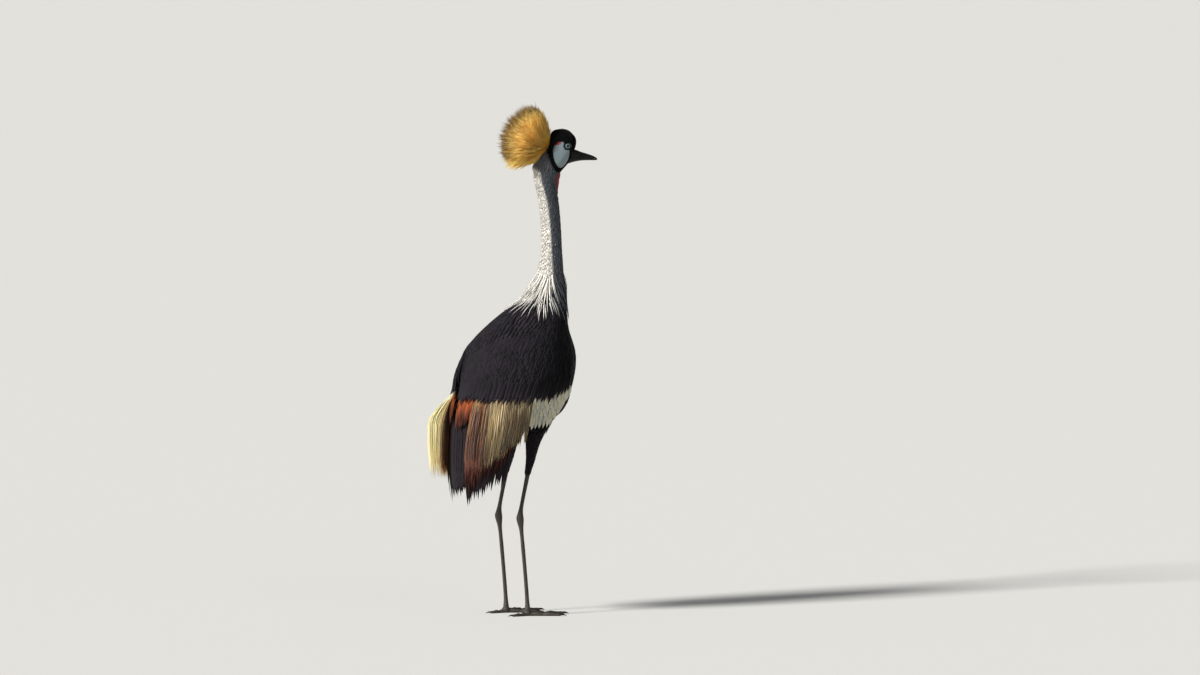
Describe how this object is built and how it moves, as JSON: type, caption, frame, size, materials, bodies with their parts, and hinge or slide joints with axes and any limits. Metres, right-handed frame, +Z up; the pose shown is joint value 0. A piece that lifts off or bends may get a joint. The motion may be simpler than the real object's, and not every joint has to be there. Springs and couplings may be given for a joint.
{
  "type": "grey crowned crane",
  "caption": "Life-size still model of a tall wading bird standing on both feet, head turned aside, with a fan of stiff bristles behind the crown.",
  "frame": {"origin": "on the floor under the middle of the bird's bounding box", "axes": "+Z up, +X the way the body faces, +Y the bird's left"},
  "size_m": [0.3538, 0.2052, 1.0949],
  "materials": {
    "slate_plumage": "soft matt feathers",
    "pale_plumage": "soft matt feathers",
    "velvet": "short velvety feathers",
    "white_plumage": "soft matt feathers",
    "straw_plumage": "loose silky feathers",
    "gold_bristle": "stiff dry bristles",
    "chestnut_plumage": "loose matt feathers",
    "black_plumage": "smooth flight feathers",
    "leg_skin": "scaly dry skin",
    "horn": "smooth horn",
    "red_skin": "soft bare skin",
    "cheek_skin": "smooth bare skin",
    "eye": "wet gloss"
  },
  "bodies": {
    "root": {"bill_lower": "horn", "bill_upper": "horn", "cap": "velvet", "cheek_left": "cheek_skin", "cheek_right": "cheek_skin", "claw_hind_left": "horn", "claw_hind_right": "horn", "claw_inner_left": "horn", "claw_inner_right": "horn", "claw_middle_left": "horn", "claw_middle_right": "horn", "claw_outer_left": "horn", "claw_outer_right": "horn", "coverts_left": "white_plumage", "coverts_right": "white_plumage", "crest": "gold_bristle", "eye_left": "eye", "eye_right": "eye", "foot_left": "leg_skin", "foot_right": "leg_skin", "head": "velvet", "neck_lower": "pale_plumage", "neck_upper": "pale_plumage", "plumes_left": "straw_plumage", "plumes_right": "straw_plumage", "primaries_left": "black_plumage", "primaries_right": "black_plumage", "secondaries_left": "chestnut_plumage", "secondaries_right": "chestnut_plumage", "shank_left": "leg_skin", "shank_right": "leg_skin", "tail": "black_plumage", "tarsus_left": "leg_skin", "tarsus_right": "leg_skin", "thigh_left": "slate_plumage", "thigh_right": "slate_plumage", "torso": "slate_plumage", "wattle": "red_skin", "wing_left": "slate_plumage", "wing_right": "slate_plumage"}
  },
  "joints": []
}
